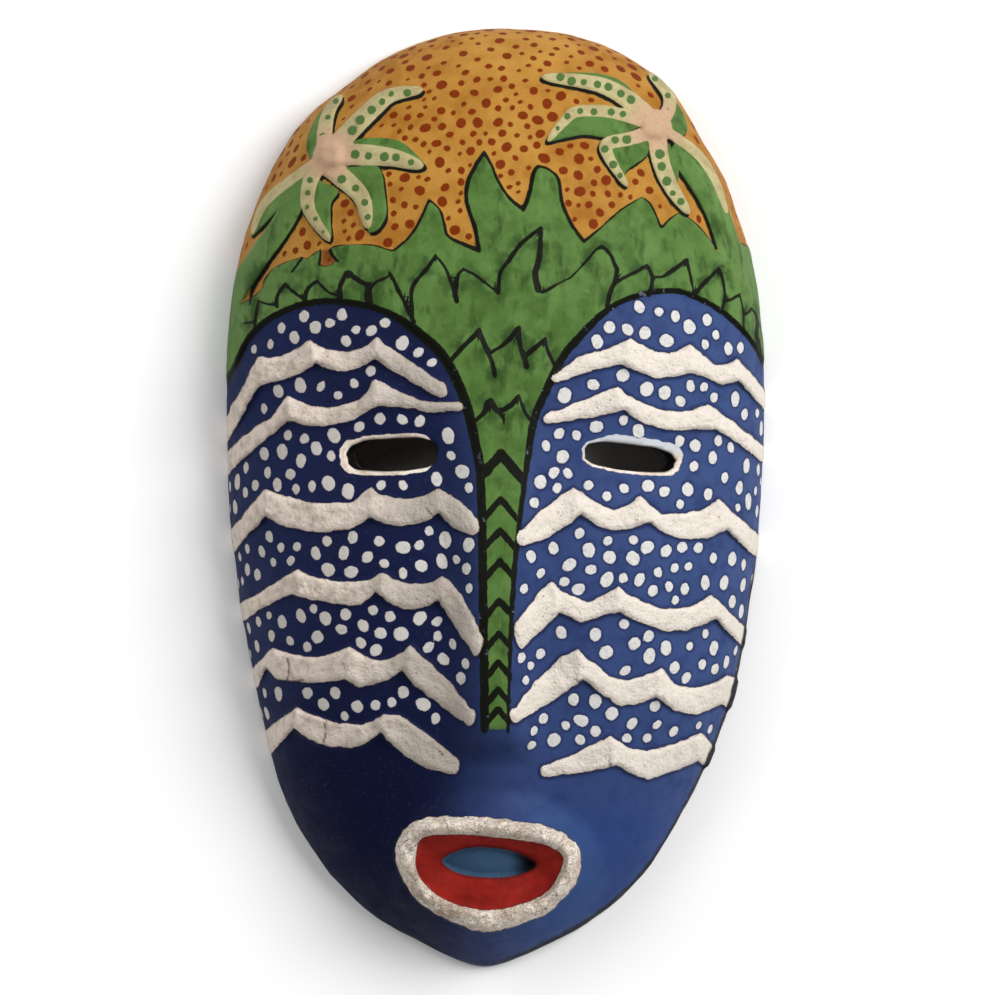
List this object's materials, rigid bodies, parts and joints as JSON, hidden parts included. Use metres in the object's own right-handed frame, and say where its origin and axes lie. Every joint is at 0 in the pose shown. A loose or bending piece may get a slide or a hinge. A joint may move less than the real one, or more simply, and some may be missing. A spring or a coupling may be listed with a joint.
{
  "type": "wooden mask",
  "caption": "Oval wooden face mask with a narrow nose ridge, slotted eyes, a ringed blind mouth and raised wave bands, painted with leaves, palms and dots.",
  "frame": {"origin": "middle of the mask's outline, on the plane of the flat rim that it lies on", "axes": "+X to the right of someone who looks at the face, +Y towards the crown of the head, +Z out of the face"},
  "size_m": [0.2296, 0.3999, 0.0848],
  "materials": {
    "painted_wood": "matte paint over wood"
  },
  "bodies": {
    "root": {"mask": "painted_wood"}
  },
  "joints": []
}
